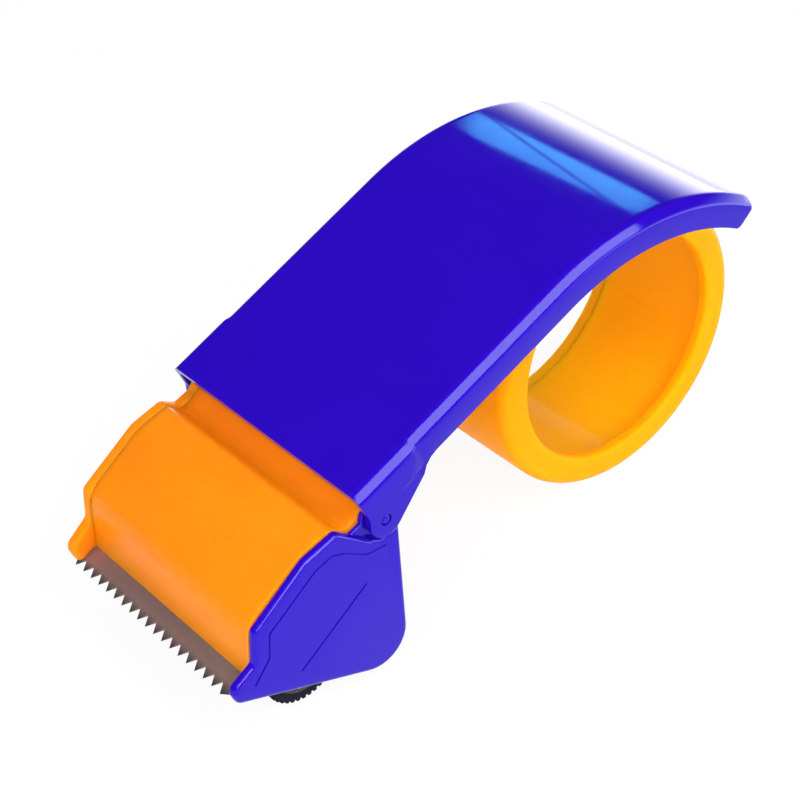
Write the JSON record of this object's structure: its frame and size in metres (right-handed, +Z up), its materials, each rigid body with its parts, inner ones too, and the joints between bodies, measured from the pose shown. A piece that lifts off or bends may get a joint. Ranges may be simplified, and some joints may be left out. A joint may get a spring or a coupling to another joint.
{
  "type": "packing tape dispenser",
  "caption": "Hand-held packing tape dispenser: hinged arched handle cover over a drum for a tape core, with a pressing roller and a serrated cutting blade in the head.",
  "frame": {"origin": "On the table under the middle of the part's box: halfway across the handle cover and halfway between the blade side ear and the drum's rear.", "axes": "+X runs along the drum's axis towards its free end, where the tape roll goes on; +Y runs from the blade to the drum; +Z is up from the table."},
  "size_m": [0.0656, 0.1682, 0.0887],
  "materials": {
    "orange_plastic": "moulded orange plastic, glossy",
    "blue_plastic": "moulded deep blue plastic, glossy",
    "blade_steel": "stamped spring steel, ground along its length",
    "bar_steel": "plain drawn steel",
    "zinc_screw": "zinc plated",
    "nylon": "natural nylon",
    "core_plastic": "black moulded plastic",
    "black_rubber": "ribbed black rubber"
  },
  "bodies": {
    "frame": {"body_frame": "orange_plastic", "tape_drum": "orange_plastic", "drum_screws": "zinc_screw", "right_cheek": "blue_plastic", "tie_screws": "zinc_screw", "hinge_pins": "blue_plastic", "cutting_blade": "blade_steel", "blade_bar": "bar_steel", "blade_screws": "zinc_screw", "roller_axle": "bar_steel"},
    "handle": {"handle_cover": "blue_plastic"},
    "roller": {"roller_bushes": "nylon", "roller_core": "core_plastic", "roller_sleeve": "black_rubber"}
  },
  "joints": [
    {"name": "handle_hinge", "type": "hinge", "parent": "frame", "child": "handle", "pos_m": [0, -0.04374, 0.0434], "axis": [1, 0, 0], "range_deg": [0, 32]},
    {"name": "roller_spin", "type": "hinge", "parent": "frame", "child": "roller", "pos_m": [0, -0.06114, 0.01], "axis": [1, 0, 0], "continuous": true}
  ]
}
